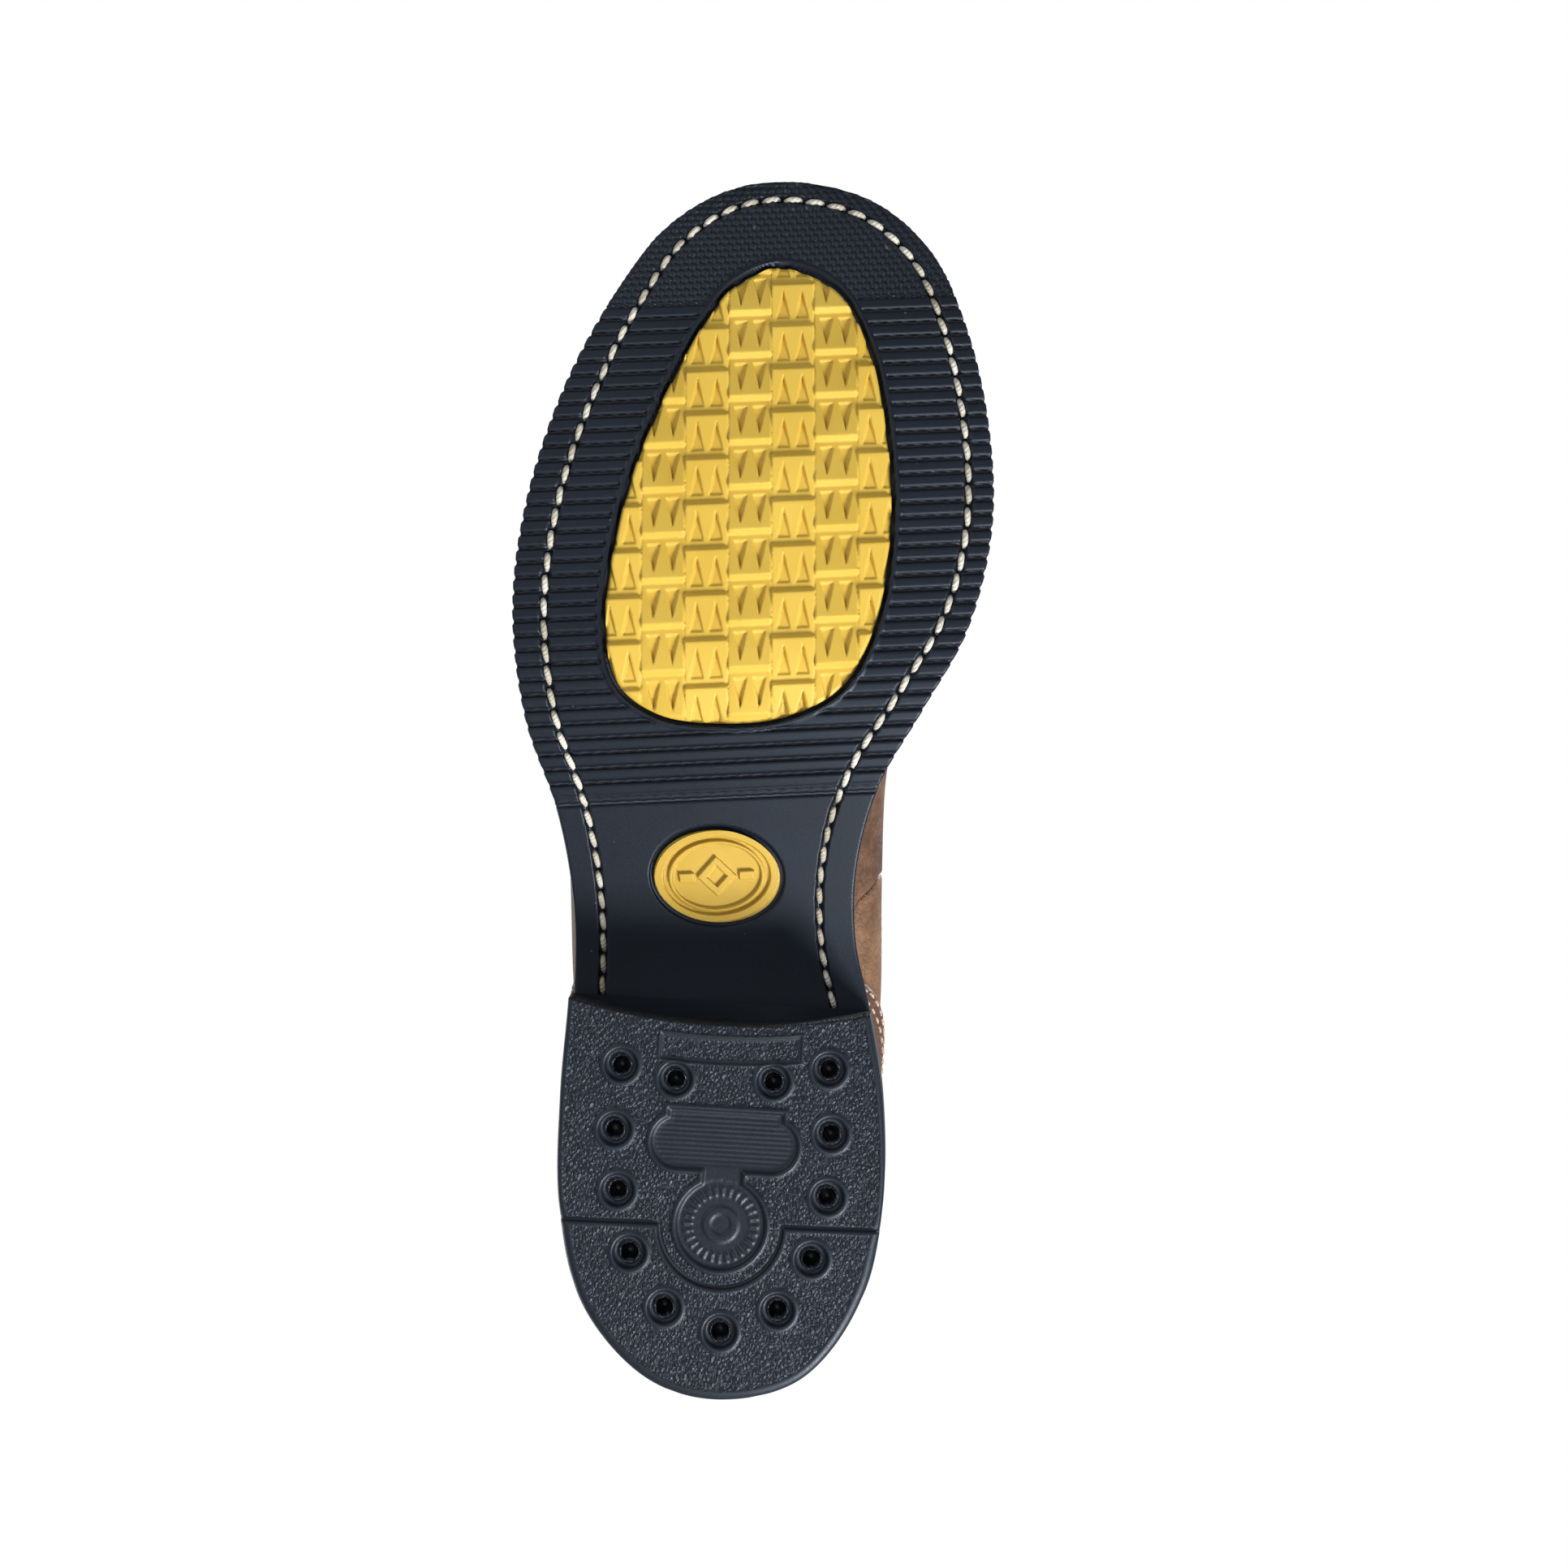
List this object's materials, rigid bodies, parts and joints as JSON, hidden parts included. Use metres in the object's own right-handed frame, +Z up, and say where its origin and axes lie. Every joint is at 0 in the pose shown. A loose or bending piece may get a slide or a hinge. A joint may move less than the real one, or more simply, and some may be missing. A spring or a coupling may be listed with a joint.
{
  "type": "steel toe work boot",
  "caption": "Right-foot pull-on work boot with a steel toe cap, elastic sides, a ribbed welted sole with a yellow grip insert, and a nailed heel.",
  "frame": {"origin": "on the ground, under the middle of the boot's bounding box", "axes": "+Z up, -Y to the toe, +X to the inner side of the right foot"},
  "size_m": [0.1178, 0.3062, 0.2129],
  "materials": {
    "black_rubber": "satin black moulded rubber",
    "yellow_rubber": "satin yellow rubber",
    "heel_rubber": "grained black moulded rubber",
    "brown_leather": "oiled brown leather",
    "counter_leather": "oiled purple-brown leather",
    "welt_leather": "dark dressed leather",
    "elastic": "ribbed dark-brown elastic",
    "lining": "tan brushed lining",
    "thread": "waxed off-white thread",
    "steel": "plain steel",
    "nail_steel": "dull wire nails",
    "cork": "ground cork",
    "fibreboard": "fibreboard",
    "felt": "felt and foam",
    "webbing": "dark woven webbing",
    "stiffener": "thermoplastic board"
  },
  "bodies": {
    "boot": {"outsole": "black_rubber", "outsole_grip_insert": "yellow_rubber", "outsole_badge": "yellow_rubber", "heel_block": "heel_rubber", "midsole": "black_rubber", "welt": "welt_leather", "heel_rand": "welt_leather", "outsole_stitch_thread": "thread", "welt_stitch_thread": "thread", "insole_rib": "felt", "cork_filler": "cork", "steel_shank": "steel", "puncture_plate": "steel", "insole_board": "fibreboard", "footbed": "felt", "vamp": "brown_leather", "rear_quarter": "brown_leather", "outside_counter": "counter_leather", "backstay": "counter_leather", "gore_medial": "elastic", "gore_lateral": "elastic", "steel_toe_cap": "steel", "toe_cap_gasket": "black_rubber", "vamp_interlining": "felt", "heel_stiffener": "stiffener", "collar_foam": "felt", "lining_front": "lining", "lining_rear": "lining", "collar_binding": "webbing", "front_loop_anchor": "webbing", "rear_loop_anchor": "webbing", "heel_nail_01": "nail_steel", "heel_nail_02": "nail_steel", "heel_nail_03": "nail_steel", "heel_nail_04": "nail_steel", "heel_nail_05": "nail_steel", "heel_nail_06": "nail_steel", "heel_nail_07": "nail_steel", "heel_nail_08": "nail_steel", "heel_nail_09": "nail_steel", "heel_nail_10": "nail_steel", "heel_nail_11": "nail_steel", "heel_nail_12": "nail_steel", "heel_nail_13": "nail_steel"},
    "front_loop": {"front_pull_loop": "webbing"},
    "rear_loop": {"rear_pull_loop": "webbing"}
  },
  "joints": [
    {"name": "front_loop_hinge", "type": "hinge", "parent": "boot", "child": "front_loop", "pos_m": [-0.0023, 0.03755, 0.1773], "axis": [1, 0, 0], "range_deg": [-60, 60], "stiffness_Nm_per_rad": 0.02},
    {"name": "rear_loop_hinge", "type": "hinge", "parent": "boot", "child": "rear_loop", "pos_m": [0.0034, 0.14425, 0.1789], "axis": [1, 0, 0], "range_deg": [-60, 60], "stiffness_Nm_per_rad": 0.02}
  ]
}
